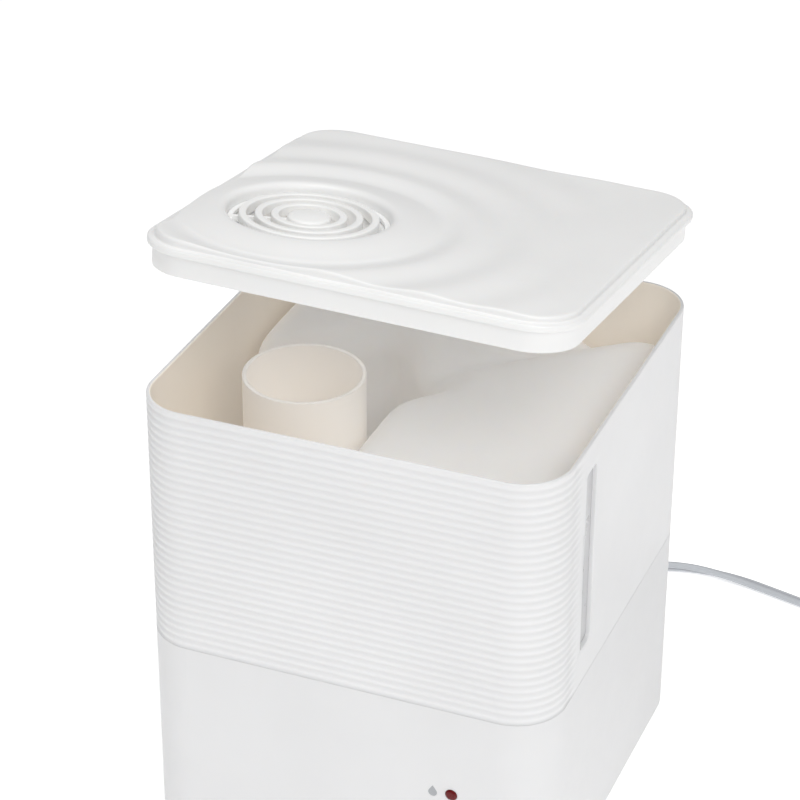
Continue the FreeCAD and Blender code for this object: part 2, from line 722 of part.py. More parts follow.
# ---------------------------------------------------------------- tank
# Corners of the tank's plan after the first two: x, y, how it is rounded. "out" corners shrink with an
# inset and "in" corners grow. The notch for the tube and the hand is on the front left.
TANK_CORNERS = [
    ("lobe_front", -5, None, 18, "out"),
    ("front_right", None, None, 20, "out"),
    ("back_right", None, None, 30, "out"),
    ("back_left", None, None, 20, "out"),
    ("left_end", None, 24, 18, "out"),
    ("grip_left", -52, 24, 18, "out"),
    ("grip_back", -34, 52, 8, "in"),
    ("grip_right", 8, 8, 5, "in"),
    ("lobe_inner", -5, -14, 18, "out"),
]


def tank_plan(inset):
    """The tank's plan wire, drawn in by an inset, with every corner rounded."""
    half_x = size("width") / 2 - size("tank_gap")
    half_y = size("depth") / 2 - size("tank_gap")
    outer = {"lobe_front": (None, -half_y), "front_right": (half_x, -half_y), "back_right": (half_x, half_y),
             "back_left": (-half_x, half_y), "left_end": (-half_x, None)}
    corners = []
    for name, x, y, radius, sense in TANK_CORNERS:
        wide, deep = outer.get(name, (None, None))
        point = Vector(x if wide is None else wide, y if deep is None else deep, 0)
        corners.append((point, radius - inset if sense == "out" else radius + inset))
    moved = []
    count = len(corners)
    for k, (point, radius) in enumerate(corners):
        before = (point - corners[k - 1][0]).normalize()
        after = (corners[(k + 1) % count][0] - point).normalize()
        normal_in = Vector(-before.y, before.x, 0)
        normal_out = Vector(-after.y, after.x, 0)
        shift = (normal_in + normal_out) * (inset / (1 + normal_in.dot(normal_out)))
        moved.append((point + shift, radius))
    edges = []
    starts = []
    for k, (point, radius) in enumerate(moved):
        before = (point - moved[k - 1][0]).normalize()
        after = (moved[(k + 1) % count][0] - point).normalize()
        turn = math.acos(max(-1.0, min(1.0, before.dot(after))))
        reach = radius * math.tan(turn / 2)
        entry = point - before * reach
        leave = point + after * reach
        bisector = (after - before).normalize()
        middle = point + bisector * (radius / math.cos(turn / 2) - radius)
        starts.append((entry, middle, leave))
    for k, (entry, middle, leave) in enumerate(starts):
        edges.append(Part.Arc(entry, middle, leave).toShape())
        edges.append(Part.makeLine(leave, starts[(k + 1) % count][0]))
    return Part.Wire(edges)


def tank_form(inset):
    """The tank's block for one inset: plan extruded, edges rounded, hand valley taken out."""
    low = size("tank_bottom") + inset
    high = size("tank_top") - inset
    form = Part.Face(tank_plan(inset)).extrude(Vector(0, 0, high - low))
    form.translate(Vector(0, 0, low))
    top_edges = [edge for edge in form.Edges if edge.BoundBox.ZMin > high - 0.01]
    form = form.makeFillet(size("tank_edge") - inset, top_edges)
    low_edges = [edge for edge in form.Edges if edge.BoundBox.ZMax < low + 0.01]
    form = form.makeFillet(size("tank_edge_low") - min(inset, 2), low_edges)
    radius = size("valley_radius") + inset
    axis_height = size("tank_top") - size("valley_depth") + size("valley_radius")
    start = Vector(-40, -2, axis_height)
    valley = Part.makeCylinder(radius, 150, start, Vector(1, 1, 0))
    return form.cut(valley)


def tank():
    """Hollow tank with its filling neck underneath."""
    neck = (size("cap_x"), size("cap_y"))
    low = size("tank_bottom") - size("neck_length")
    outer = Part.makeCylinder(size("neck_radius"), size("neck_length") + 1, Vector(*neck, low))
    bore = Part.makeCylinder(size("neck_radius") - size("neck_wall"), size("neck_length") + 4,
                             Vector(*neck, low - 1))
    body = tank_form(0).fuse(outer).cut(tank_form(size("tank_wall"))).cut(bore)
    return node(solid(body.removeSplitter()), "tank_body")


def cap_parts():
    """Screw cap with its seal, and the spring valve that the basin's pin pushes open."""
    centre = ("cap_x", "cap_y", 0)
    inner = "(neck_radius + cap_gap)"
    wall_top = "(tank_bottom - 1.5)"
    cup = lathe([("stem_radius + 1.2", CAP_LOW), ("cap_radius", CAP_LOW), ("cap_radius", wall_top),
                 (inner, wall_top), (inner, CAP_INSIDE), ("stem_radius + 1.2", CAP_INSIDE)], centre)
    grips = []
    for k in range(20):
        angle = 2 * math.pi * k / 20
        spot = (f"cap_x + (cap_radius + 0.6) * {math.cos(angle):.5f}",
                f"cap_y + (cap_radius + 0.6) * {math.sin(angle):.5f}", f"{CAP_LOW} - 1")
        grips.append(rod(spot, 1.3, "neck_length + 8"))
    node(cut(cup, *grips), "tank_cap")
    node(lathe(tube("neck_radius - 3", "neck_radius", CAP_INSIDE, NECK_LOW), centre), "cap_seal")

    cage_top = f"({CAP_INSIDE} + cage_height)"
    cage = lathe([("cage_radius - cage_wall", CAP_INSIDE), ("cage_radius", CAP_INSIDE),
                  ("cage_radius", cage_top), ("stem_radius + 0.3", cage_top),
                  ("stem_radius + 0.3", f"{cage_top} - cage_wall"),
                  ("cage_radius - cage_wall", f"{cage_top} - cage_wall")], centre)
    windows = [block(("cap_x - cage_radius - 1", "cap_y - 2.5", f"{CAP_INSIDE} + 2"),
                     ("cap_x + cage_radius + 1", "cap_y + 2.5", f"{cage_top} - 3")),
               block(("cap_x - 2.5", "cap_y - cage_radius - 1", f"{CAP_INSIDE} + 2"),
                     ("cap_x + 2.5", "cap_y + cage_radius + 1", f"{cage_top} - 3"))]
    node(cut(cage, *windows), "valve_cage")

    seal_low = f"({CAP_INSIDE} + valve_gap)"
    seal_top = f"({seal_low} + 1.5)"
    stem = [("0", STEM_LOW), ("stem_radius", STEM_LOW), ("stem_radius", seal_top), ("valve_disc", seal_top),
            ("valve_disc", f"{seal_top} + 1.2"), ("stem_radius", f"{seal_top} + 1.2"),
            ("stem_radius", f"{cage_top} + 1"), ("0", f"{cage_top} + 1")]
    node(lathe(stem, centre), "valve_stem")
    node(lathe(tube("stem_radius", "valve_disc", seal_low, seal_top), centre), "valve_seal")

    wire = 0.35
    start = size("tank_bottom") - size("neck_length") - size("seal_height") + size("valve_gap") + 2.7 + wire
    span = size("cage_height") - size("cage_wall") - size("valve_gap") - 2.7 - 2 * wire - 0.1
    coil = Part.makeHelix(span / 6, span, 3.4)
    section = Part.Wire(Part.makeCircle(wire, Vector(3.4, 0, 0), Vector(0, 1, 0)))
    spring = Part.Wire(coil.Edges).makePipeShell([section], True, True)
    spring.translate(Vector(size("cap_x"), size("cap_y"), start))
    node(solid(spring), "valve_spring")


# ---------------------------------------------------------------- lid
def swing(thing):
    """Turn a closed lid piece up about the lift axis to the open angle."""
    turn = math.radians(size("lift_axis_turn"))
    reach = size("lift_axis_reach")
    height = size("rim_height") - size("lift_axis_below_rim")
    centre = Vector(-math.sin(turn) * reach, math.cos(turn) * reach, height)
    axis = Vector(-math.cos(turn), -math.sin(turn), 0)
    opened = FreeCAD.Placement(Vector(), FreeCAD.Rotation(axis, size("lid_open_angle")), centre)
    swung = solid(thing.Shape.copy())
    swung.Placement = opened
    return swung


def lid_parts():
    """Lid cover with flange, raised step, skirt and nozzle, and the ring grille in its opening."""
    flange = rounded_block(0, LID_LOW, FLANGE_TOP)
    step = rounded_block("step_inset", f"{FLANGE_TOP} - 1", LID_TOP)
    skirt = rounded_block("skirt_inset", f"{LID_LOW} - skirt_depth", f"{LID_LOW} + 1")
    hollow = rounded_block("skirt_inset + lid_wall", f"{LID_LOW} - skirt_depth - 1", f"{LID_TOP} - lid_wall")
    opening = rod(("tube_x", "tube_y", LID_LOW), "grille_radius", 20)
    plate = cut(fuse(flange, step, skirt), hollow, opening)
    inner = "tube_radius + nozzle_gap"
    wide = "grille_radius + 1.5"
    seat_top = f"({LID_TOP} - lid_wall)"
    nozzle = lathe([(inner, "tube_top - nozzle_overlap"), (f"{inner} + nozzle_wall", "tube_top - nozzle_overlap"),
                    (f"{inner} + nozzle_wall", f"{seat_top} - 5"), (wide, f"{seat_top} - 3.4"),
                    (wide, f"{seat_top} + 0.4"), ("grille_radius", f"{seat_top} + 0.4"),
                    ("grille_radius", f"{seat_top} - 2.4"), (inner, f"{seat_top} - 4")],
                   ("tube_x", "tube_y", 0))
    cover = fuse(plate, nozzle)
    doc.recompute()
    node(swing(cover), "lid_cover")

    ring_low = f"({LID_TOP} - ring_height)"
    rings = []
    for k in range(3):
        middle = f"(grille_disc + ring_pitch - ring_width / 2 + 0.3 + {k} * ring_pitch)"
        rings.append(lathe(tube(f"{middle} - ring_width / 2", f"{middle} + ring_width / 2", ring_low, LID_TOP),
                           ("tube_x", "tube_y", 0)))
    disc = rod(("tube_x", "tube_y", ring_low), "grille_disc", "ring_height")
    seat = lathe(tube("grille_radius - seat_ring_width", "grille_radius - 0.1", f"{ring_low} - 0.6",
                      f"{ring_low} + 1"), ("tube_x", "tube_y", 0))
    spokes = []
    for angle in (203, 323, 83):
        bar = doc.addObject("Part::Box", "spoke")
        bind(bar, Length="grille_radius - 1", Width="spoke_width", Height="2")
        turn = FreeCAD.Rotation(Vector(0, 0, 1), angle)
        side = turn.multVec(Vector(0, -size("spoke_width") / 2, 0))
        bar.Placement = FreeCAD.Placement(Vector(), turn)
        place(bar, f"tube_x + {side.x:.4f}", f"tube_y + {side.y:.4f}", f"{ring_low} - 0.6")
        spokes.append(bar)
    grille = fuse(*rings, disc, seat, *spokes)
    doc.recompute()
    node(swing(grille), "mist_grille")


# ---------------------------------------------------------------- mains lead
# Corners of the lead's route from the strain relief to the coil, in millimetres.
CORD_ROUTE = [
    (24, 128, 24), (24, 140, 23), (25.5, 154, 17), (30, 170, 8), (40, 185, 2.6), (57, 197, 2.1),
    (79, 204, 2.1), (103, 203.5, 2.1), (127, 198.5, 2.1), (150, 193, 2.1), (174, 189, 2.1),
    (198, 187.7, 2.1),
]


def rounded_route(points):
    """Straight runs joined by arcs, each arc as large as its two runs allow, and their radii."""
    corners = [Vector(*point) for point in points]
    edges = []
    radii = []
    start = corners[0]
    for before, corner, after in zip(corners, corners[1:], corners[2:]):
        back = (before - corner).normalize()
        ahead = (after - corner).normalize()
        turn = math.pi - math.acos(max(-1.0, min(1.0, back.dot(ahead))))
        reach = 0.45 * min((before - corner).Length, (after - corner).Length)
        radius = reach / math.tan(turn / 2)
        entry = corner + back * reach
        leave = corner + ahead * reach
        bisector = (back + ahead).normalize()
        middle = corner + bisector * (radius / math.cos(turn / 2) - radius)
        edges.append(Part.LineSegment(start, entry).toShape())
        edges.append(Part.Arc(entry, middle, leave).toShape())
        radii.append(radius)
        start = leave
    edges.append(Part.LineSegment(start, corners[-1]).toShape())
    return Part.Wire(edges), radii


def mains_lead():
    """Strain relief, lead, put-away coil, tail and two-blade plug."""
    width = size("cord_width")
    thick = size("cord_thickness")
    relief = [("0", "-4.5"), ("gland_hole + 1.6", "-4.5"), ("gland_hole + 1.6", "-base_wall"),
              ("gland_hole - 0.05", "-base_wall"), ("gland_hole - 0.05", "0"), ("gland_hole + 1.6", "0"),
              ("gland_hole + 1.6", "2"), ("cord_width / 2 + 2.4", "2.6"),
              ("cord_width / 2 + 0.3", "relief_length"), ("0", "relief_length")]
    sleeve = lathe(relief, ("gland_x", BACK, "gland_z"))
    sleeve.Placement = FreeCAD.Placement(Vector(), FreeCAD.Rotation(Vector(1, 0, 0), -90))
    place(sleeve, "gland_x", BACK, "gland_z")
    node(sleeve, "strain_relief")

    path, radii = rounded_route(CORD_ROUTE)
    start = Vector(*CORD_ROUTE[0])
    heading = Vector(*CORD_ROUTE[1]) - start
    section = Part.Wire(Part.makeCircle(thick / 2, start, heading))
    lead = path.makePipeShell([section], True, False)
    expected = math.pi * (thick / 2) ** 2 * path.Length
    print("lead length", round(path.Length, 1), "radii", [round(r) for r in radii],
          "volume share", round(lead.Volume / expected, 4))
    node(solid(lead), "power_cord")

    centre = Vector(size("coil_x"), size("coil_y"), 0)
    tall = size("coil_layers") * thick
    outer = Part.makeCylinder(size("coil_radius") + 1.5 * width, tall, centre)
    hole = Part.makeCylinder(size("coil_radius") - 1.5 * width, tall, centre)
    node(solid(outer.cut(hole)), "cord_coil")

    leave_angle = math.radians(-35)
    middle = size("plug_thickness") / 2
    out = Vector(math.cos(leave_angle), math.sin(leave_angle), 0)
    along = Vector(math.sin(leave_angle), -math.cos(leave_angle), 0)
    start = centre + out * (size("coil_radius") + width) + Vector(0, 0, middle)
    tail_length = 36.0
    node(solid(Part.makeCylinder(thick / 2, tail_length, start, along)), "cord_tail")

    turn = FreeCAD.Rotation(Vector(1, 0, 0), along)
    back_end = start + along * tail_length
    body = Part.makeBox(23, 24, 2 * middle, Vector(7, -12, -middle))
    body = body.makeFillet(3.0, [edge for edge in body.Edges if edge.BoundBox.XMax - edge.BoundBox.XMin > 1
                                 or edge.BoundBox.XMax < 7.1])
    collar = Part.makeCone(width / 2 + 0.6, 5.5, 9, Vector(), Vector(1, 0, 0))
    blades = [Part.makeBox(18, 1.5, 6.3, Vector(29, offset - 0.75, -3.15)) for offset in (-6.35, 6.35)]
    plug = body.fuse(collar).cut(blades)
    for name, shape in (("plug_body", plug), ("plug_blades", Part.makeCompound(blades))):
        piece = solid(shape)
        piece.Placement = FreeCAD.Placement(back_end, turn)
        node(piece, name)


# ---------------------------------------------------------------- build, check and write
base_housing()
upper_casing()
level_window()
bottom_cover()
rubber_feet()
bottom_screws()
water_basin()
basin_fittings()
mist_tube()
transducer()
float_parts()
fan_parts()
board_screws = electronics()
node(fuse(*board_screws), "board_screws")
controls()
control_dial()
tank()
cap_parts()
lid_parts()
mains_lead()

doc.recompute()
for thing in doc.Objects:
    if "Invalid" in thing.State or "Error" in thing.State:
        raise RuntimeError(f"{thing.Name} failed: {thing.getStatusString()}")
for name, thing in NODES.items():
    if thing.Shape.isNull() or not thing.Shape.isValid() or not thing.Shape.Solids:
        raise RuntimeError(f"{name} has no valid solid")

os.makedirs("parts", exist_ok=True)
for name, thing in NODES.items():
    thing.Shape.exportStep(f"parts/{name}.step")
    box = thing.Shape.BoundBox
    print(f"{name:20s} solids {len(thing.Shape.Solids)} volume {thing.Shape.Volume:10.1f}"
          f"  x {box.XMin:.1f} {box.XMax:.1f}  y {box.YMin:.1f} {box.YMax:.1f}  z {box.ZMin:.1f} {box.ZMax:.1f}")
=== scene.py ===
"""Cool mist humidifier with its lid held open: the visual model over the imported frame."""
import json
from math import cos, pi, radians, sin

import bpy
import numpy as np
from mathutils import Matrix, Vector


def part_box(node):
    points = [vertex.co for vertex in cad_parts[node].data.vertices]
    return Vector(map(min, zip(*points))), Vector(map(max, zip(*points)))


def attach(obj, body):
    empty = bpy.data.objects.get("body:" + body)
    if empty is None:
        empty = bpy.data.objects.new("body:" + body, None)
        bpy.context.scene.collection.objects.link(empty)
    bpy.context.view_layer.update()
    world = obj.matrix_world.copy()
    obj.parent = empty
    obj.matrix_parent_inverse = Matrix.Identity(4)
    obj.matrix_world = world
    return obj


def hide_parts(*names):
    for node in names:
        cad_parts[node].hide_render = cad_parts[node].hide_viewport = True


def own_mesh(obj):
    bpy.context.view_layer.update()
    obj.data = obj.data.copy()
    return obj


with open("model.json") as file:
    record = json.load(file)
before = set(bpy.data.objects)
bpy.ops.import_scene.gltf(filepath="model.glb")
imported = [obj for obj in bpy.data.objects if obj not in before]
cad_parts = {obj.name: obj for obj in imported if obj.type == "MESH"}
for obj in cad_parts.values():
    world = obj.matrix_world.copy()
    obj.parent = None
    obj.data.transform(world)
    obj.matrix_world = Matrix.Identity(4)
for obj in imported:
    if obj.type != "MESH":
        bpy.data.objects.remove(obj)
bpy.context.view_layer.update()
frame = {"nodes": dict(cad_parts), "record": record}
NODES = frame["nodes"]
MM = 0.001

# Shared sizes in millimetres, the same as the CAD's.
HALF = 100.0
CORNER = 24.0
RIM = 227.5
SPLIT = 103.5
WALL = 2.0
TUBE = np.array((-45.0, -32.0))
LID_LOW = RIM + 0.1
FLANGE_TOP = LID_LOW + 3.0
LID_TOP = FLANGE_TOP + 3.0
GRILLE = 36.5

# Shallow bands round the front: spacing, number, height of the top one, depth.
RIB_PITCH, RIB_COUNT, RIB_TOP, RIB_DEPTH = 3.98, 31, 224.2, 0.5
# Slot in the right wall: middle and half size in y and z, corner radius, softened edge.
SLOT_MIDDLE, SLOT_HALF, SLOT_CORNER, SLOT_SOFT = (-52.6, 167.75), (6.9, 45.75), 2.6, 0.35
# Block of the wall's grid that the slot takes up, in y and z.
SLOT_Y, SLOT_Z = (-63.6, -41.6), (119.0, 216.5)
# Lid as it is held: degrees turned up, bearing of the hinge's axis, a point on the axis.
LID_OPEN, LID_BEARING, LID_PIVOT = 8.37, -8.3, (57.021, 390.863, 224.0)
# Water rings: radius of the first crest, distance between crests.
WAVE_START, WAVE_LENGTH = 72.0, 29.5
# Nozzle below the grille: inner and outer radius, height of its end.
NOZZLE_IN, NOZZLE_OUT, NOZZLE_LOW = 29.5, 31.0, 214.5
# Corners of the tank's plan, and the spacing of the grid that it is worked out on.
TANK_PLAN = [(-11, -93.8), (93.8, -93.8), (93.8, 93.8), (-93.8, 93.8), (-93.8, 12), (-52, 24),
             (-34, 52), (8, 8), (-11, -12)]
TANK_STEP = 1.6
# Valve spring: wire radius, turns, travel.
SPRING_WIRE, SPRING_TURNS, SPRING_TRAVEL = 0.35, 6, 3.0


# ---------------------------------------------------------------- camera
def camera():
    """Long-lens view from the front right, at the height of a raised hand."""
    azimuth, elevation, roll = radians(21.93), radians(29.67), radians(0.263)
    ahead = Vector((-sin(azimuth) * cos(elevation), cos(azimuth) * cos(elevation), -sin(elevation)))
    right = ahead.cross(Vector((0, 0, 1))).normalized()
    up = right.cross(ahead)
    side = cos(roll) * right + sin(roll) * up
    top = -sin(roll) * right + cos(roll) * up
    lens = bpy.data.cameras.new("camera")
    lens.lens = 126.47
    lens.sensor_width = 36.0
    lens.clip_start = 0.05
    lens.clip_end = 20.0
    eye = bpy.data.objects.new("camera", lens)
    place = Vector((0.411395, -1.049154, 0.840422))
    eye.matrix_world = Matrix((
        (side.x, top.x, -ahead.x, place.x), (side.y, top.y, -ahead.y, place.y),
        (side.z, top.z, -ahead.z, place.z), (0, 0, 0, 1)))
    bpy.context.scene.collection.objects.link(eye)
    bpy.context.scene.camera = eye


camera()


# ---------------------------------------------------------------- materials
def grain_group():
    """Slow clouding, fine moulding grain and faint handling marks, for every moulded piece."""
    group = bpy.data.node_groups.new("moulded_grain", "ShaderNodeTree")
    face = group.interface
    face.new_socket("Scale", in_out="INPUT", socket_type="NodeSocketFloat").default_value = 1.0
    for name in ("Cloud", "Grain", "Marks"):
        face.new_socket(name, in_out="OUTPUT", socket_type="NodeSocketFloat")
    nodes, links = group.nodes, group.links
    entry, leave = nodes.new("NodeGroupInput"), nodes.new("NodeGroupOutput")
    where = nodes.new("ShaderNodeTexCoord")
    spread = nodes.new("ShaderNodeVectorMath")
    spread.operation = "SCALE"
    links.new(where.outputs["Object"], spread.inputs[0])
    links.new(entry.outputs["Scale"], spread.inputs["Scale"])
    for name, scale, detail in (("Cloud", 14.0, 3.0), ("Grain", 2600.0, 2.0), ("Marks", 160.0, 5.0)):
        noise = nodes.new("ShaderNodeTexNoise")
        noise.inputs["Scale"].default_value = scale
        noise.inputs["Detail"].default_value = detail
        links.new(spread.outputs["Vector"], noise.inputs["Vector"])
        links.new(noise.outputs["Fac"], leave.inputs[name])
    return group


GRAIN = grain_group()
NOISE_SPAN = (0.3, 0.7)
GRAIN_HEIGHT = 0.00006


def plastic(name, colour, rough=0.42, vary=0.03, grain=0.12, bevel=0.0, scatter=0.0, reach=0.004,
            metallic=0.0, coat=0.0, through=0.0, index=1.46, glow=0.0):
    """Principled surface whose tone, roughness and height all follow the shared grain."""
    material = bpy.data.materials.new(name)
    material.use_nodes = True
    nodes, links = material.node_tree.nodes, material.node_tree.links
    shader = nodes["Principled BSDF"]
    texture = nodes.new("ShaderNodeGroup")
    texture.node_tree = GRAIN
    tone = nodes.new("ShaderNodeMapRange")
    tone.inputs["From Min"].default_value, tone.inputs["From Max"].default_value = NOISE_SPAN
    links.new(texture.outputs["Cloud"], tone.inputs["Value"])
    mix = nodes.new("ShaderNodeMix")
    mix.data_type = "RGBA"
    mix.inputs["A"].default_value = tuple(c * (1 - vary) for c in colour) + (1,)
    mix.inputs["B"].default_value = tuple(min(1, c * (1 + vary * 0.4)) for c in colour) + (1,)
    links.new(tone.outputs["Result"], mix.inputs["Factor"])
    links.new(mix.outputs["Result"], shader.inputs["Base Color"])
    wear = nodes.new("ShaderNodeMapRange")
    wear.inputs["From Min"].default_value, wear.inputs["From Max"].default_value = NOISE_SPAN
    wear.inputs["To Min"].default_value = rough * 0.9
    wear.inputs["To Max"].default_value = min(1, rough * 1.12)
    links.new(texture.outputs["Marks"], wear.inputs["Value"])
    links.new(wear.outputs["Result"], shader.inputs["Roughness"])
    bump = nodes.new("ShaderNodeBump")
    bump.inputs["Strength"].default_value = grain
    bump.inputs["Distance"].default_value = GRAIN_HEIGHT
    links.new(texture.outputs["Grain"], bump.inputs["Height"])
    if bevel:
        edge = nodes.new("ShaderNodeBevel")
        edge.samples = 6
        edge.inputs["Radius"].default_value = bevel * MM
        links.new(edge.outputs["Normal"], bump.inputs["Normal"])
    links.new(bump.outputs["Normal"], shader.inputs["Normal"])
    shader.inputs["Metallic"].default_value = metallic
    shader.inputs["Coat Weight"].default_value = coat
    shader.inputs["IOR"].default_value = index
    shader.inputs["Transmission Weight"].default_value = through
    shader.inputs["Subsurface Weight"].default_value = scatter
    shader.inputs["Subsurface Scale"].default_value = reach
    shader.inputs["Subsurface Radius"].default_value = (1.0, 0.85, 0.7)
    # Emission from glow. On the floor it keeps the sweep evenly bright. On the tank, the mist tube and the
    # inside of the casing it is painted light, a glow standing in for light that passes through the milky
    # plastic.
    if glow:
        shader.inputs["Emission Color"].default_value = (*colour, 1)
        shader.inputs["Emission Strength"].default_value = glow
    return material


FINISH = {
    "casing_white": plastic("casing_white", (0.83, 0.83, 0.835), 0.42, bevel=0.4, scatter=0.08, reach=0.002),
    "lid_white": plastic("lid_white", (0.885, 0.885, 0.88), 0.38, bevel=0.4, scatter=0.08, reach=0.002),
    "inner_white": plastic("inner_white", (0.94, 0.89, 0.83), 0.5, bevel=0.5, scatter=0.1, reach=0.003),
    # Tank: glow 0.07 is painted light, an emission standing in for light passing through the milky plastic.
    "milky": plastic("milky", (0.97, 0.955, 0.935), 0.36, bevel=0.8, scatter=0.35, reach=0.01, glow=0.07),
    "smoke": plastic("smoke", (0.60, 0.60, 0.61), 0.3, scatter=0.2, coat=0.4),
    "grille_grey": plastic("grille_white", (0.93, 0.93, 0.92), 0.4, scatter=0.08, reach=0.002),
    "lamp_red": plastic("lamp_red", (0.13, 0.002, 0.004), 0.16, vary=0.2, bevel=0.5, index=1.36),
    "print_grey": plastic("print_grey", (0.42, 0.43, 0.45), 0.6),
    "dial_white": plastic("dial_white", (0.86, 0.86, 0.865), 0.3, bevel=0.7, scatter=0.08, reach=0.002),
    "rubber_grey": plastic("rubber_grey", (0.30, 0.30, 0.31), 0.75, vary=0.1, grain=0.3, bevel=0.5),
    "rubber_white": plastic("rubber_white", (0.76, 0.75, 0.73), 0.65, vary=0.06, grain=0.2, bevel=0.5),
    "cord_grey": plastic("cord_grey", (0.50, 0.52, 0.55), 0.38, vary=0.05, grain=0.1, bevel=0.5),
    "board_green": plastic("board_green", (0.03, 0.16, 0.07), 0.4, vary=0.25, coat=0.3),
    "part_black": plastic("part_black", (0.035, 0.035, 0.04), 0.5, vary=0.2, grain=0.3, bevel=0.4),
    "steel": plastic("steel", (0.62, 0.62, 0.63), 0.28, vary=0.08, metallic=1.0, bevel=0.2),
    "alloy": plastic("alloy", (0.72, 0.73, 0.74), 0.34, vary=0.08, metallic=1.0, bevel=0.3),
    "copper_brown": plastic("copper_brown", (0.34, 0.14, 0.05), 0.35, vary=0.3, metallic=0.7, bevel=0.3),
    "brass": plastic("brass", (0.80, 0.62, 0.28), 0.25, vary=0.08, metallic=1.0, bevel=0.2),
    "foam": plastic("foam", (0.10, 0.10, 0.11), 0.9, vary=0.3, grain=1.0),
}
# Lower housing: the casing's white painted a little darker, painted shade towards the bottom.
BASE_WHITE_SHADED = plastic("base_white_shaded", (0.79, 0.79, 0.795), 0.42, bevel=0.4, scatter=0.08, reach=0.002)
# Mist tube: glow 0.11 is painted light, lifting the tube where it stands in the shade inside the casing.
TUBE_CREAM = plastic("tube_cream", (0.97, 0.93, 0.88), 0.4, bevel=0.7, scatter=0.15, reach=0.004, glow=0.11)
# Inside of the casing: the same plastic as the outside, painted lighter and warmer and given a glow. This is
# painted light, the warm bounce light inside the hollow.
INNER_WALL_PAINTED_LIGHT = plastic("casing_inner_painted_light", (0.95, 0.88, 0.79), 0.5, scatter=0.1, reach=0.003, glow=0.07)
# Cord groove: the sheath's grey painted darker, painted shade in the groove.
GROOVE_SHADE = plastic("cord_groove_shade", (0.42, 0.43, 0.46), 0.5, vary=0.08)


# ---------------------------------------------------------------- meshes
def piece(name, points, faces, body, slot, replaced=(), materials=None, which=None, crease=35):
    """A closed mesh in metres, from points in millimetres and its quads and triangles."""
    mesh = bpy.data.meshes.new(name)
    mesh.from_pydata((np.asarray(points) * MM).tolist(), [], [f.tolist() for f in faces])
    for material in materials or [FINISH[slot]]:
        mesh.materials.append(material)
    if which is not None:
        mesh.polygons.foreach_set("material_index", np.asarray(which, dtype=np.int32))
    mesh.polygons.foreach_set("use_smooth", np.ones(len(mesh.polygons), dtype=bool))
    mesh.set_sharp_from_angle(angle=radians(crease))
    mesh.update()
    thing = bpy.data.objects.new(name, mesh)
    bpy.context.scene.collection.objects.link(thing)
    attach(thing, body)
    if replaced:
        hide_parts(*replaced)
    return thing


def eased(share):
    """A share from nought to one with a soft start and stop: three squares less two cubes."""
    share = np.clip(share, 0, 1)
    return share * share * (3 - 2 * share)


def loops(rows, cols, close_rows=True):
    """Quads over a grid of points, row by row, whose columns always close on themselves."""
    row = np.arange(rows if close_rows else rows - 1)[:, None]
    column = np.arange(cols)
    after = (column + 1) % cols
    up = (row + 1) % rows
    corners = (row * cols + column, row * cols + after, up * cols + after, up * cols + column)
    return np.stack(corners, axis=-1).reshape(-1, 4)


def turned(section, centre, sides=128):
    """A section of (radius, height) points turned about an upright axis, as a closed ring."""
    section = np.asarray(section, dtype=float)
    angle = np.arange(sides) * 2 * pi / sides
    x = centre[0] + section[:, :1] * np.cos(angle)
    y = centre[1] + section[:, :1] * np.sin(angle)
    z = np.repeat(section[:, 1:], sides, axis=1)
    return np.stack((x, y, z), axis=-1).reshape(-1, 3), loops(len(section), sides)


def joined(parts):
    """Several closed shells as one list of points and one of faces."""
    points, faces, first = [], [], 0
    for some, quads in parts:
        points.append(some)
        faces.append(quads + first)
        first += len(some)
    return np.concatenate(points), np.concatenate(faces)


def swept(line, wide, thick, across, over):
    """A flat section carried along a line on its two side directions, closed at both ends."""
    ring = line[:, None, :] + across[:, None] * wide[:, None, :] + over[:, None] * thick[:, None, :]
    rows, sides = ring.shape[:2]
    k = np.arange(sides)
    ahead = (k + 1) % sides
    start = np.stack((ahead, k, np.full(sides, rows * sides)), axis=-1)
    last = (rows - 1) * sides
    end = np.stack((last + k, last + ahead, np.full(sides, rows * sides + 1)), axis=-1)
    points = np.concatenate((ring.reshape(-1, 3), line[:1], line[-1:]))
    return points, [*loops(rows, sides, close_rows=False), *start, *end]


def rounding(centre, radius, start, end, steps=5):
    """Points on an arc between two angles in degrees, both ends included."""
    angle = np.radians(np.linspace(start, end, steps))
    return np.stack((centre[0] + radius * np.cos(angle), centre[1] + radius * np.sin(angle)), axis=-1)


def squircle(right_stations, side_steps=8, corner_steps=14):
    """Plan of the casing: for each column a point on the straight core and a direction outwards.
    A wall at any inset is the core plus the direction times the corner radius less the inset."""
    core = HALF - CORNER
    straight = np.linspace(-core, core, side_steps + 1)[1:-1]
    right = np.asarray(right_stations, dtype=float)
    sides = (np.stack((np.full(len(right), core), right), axis=-1),
             np.stack((straight[::-1], np.full(len(straight), core)), axis=-1),
             np.stack((np.full(len(right), -core), right[::-1]), axis=-1),
             np.stack((straight, np.full(len(straight), -core)), axis=-1))
    base, out = [], []
    for k, (cx, cy) in enumerate(((core, -core), (core, core), (-core, core), (-core, -core))):
        angle = np.radians(-90 + 90 * k + np.linspace(0, 90, corner_steps + 1))
        direction = np.stack((np.cos(angle), np.sin(angle)), axis=-1)
        base += [np.repeat([[cx, cy]], len(angle), axis=0), sides[k]]
        out += [direction, np.repeat(direction[-1:], len(sides[k]), axis=0)]
    return np.concatenate(base), np.concatenate(out)


# ---------------------------------------------------------------- mains cord
ROUTE = [
    (24, 128, 24), (24, 140, 23.5), (25.5, 154, 18), (30, 170, 10), (40, 185, 4.6), (57, 197, 3.4),
    (79, 204, 3.3), (103, 203.5, 2.9), (127, 198.5, 2.3), (150, 193, 2.1), (174, 189, 2.1),
    (198, 187.7, 2.1),
]
COIL = (200.0, 148.5)
CORD_WIDE, CORD_THICK = 6.1, 3.8


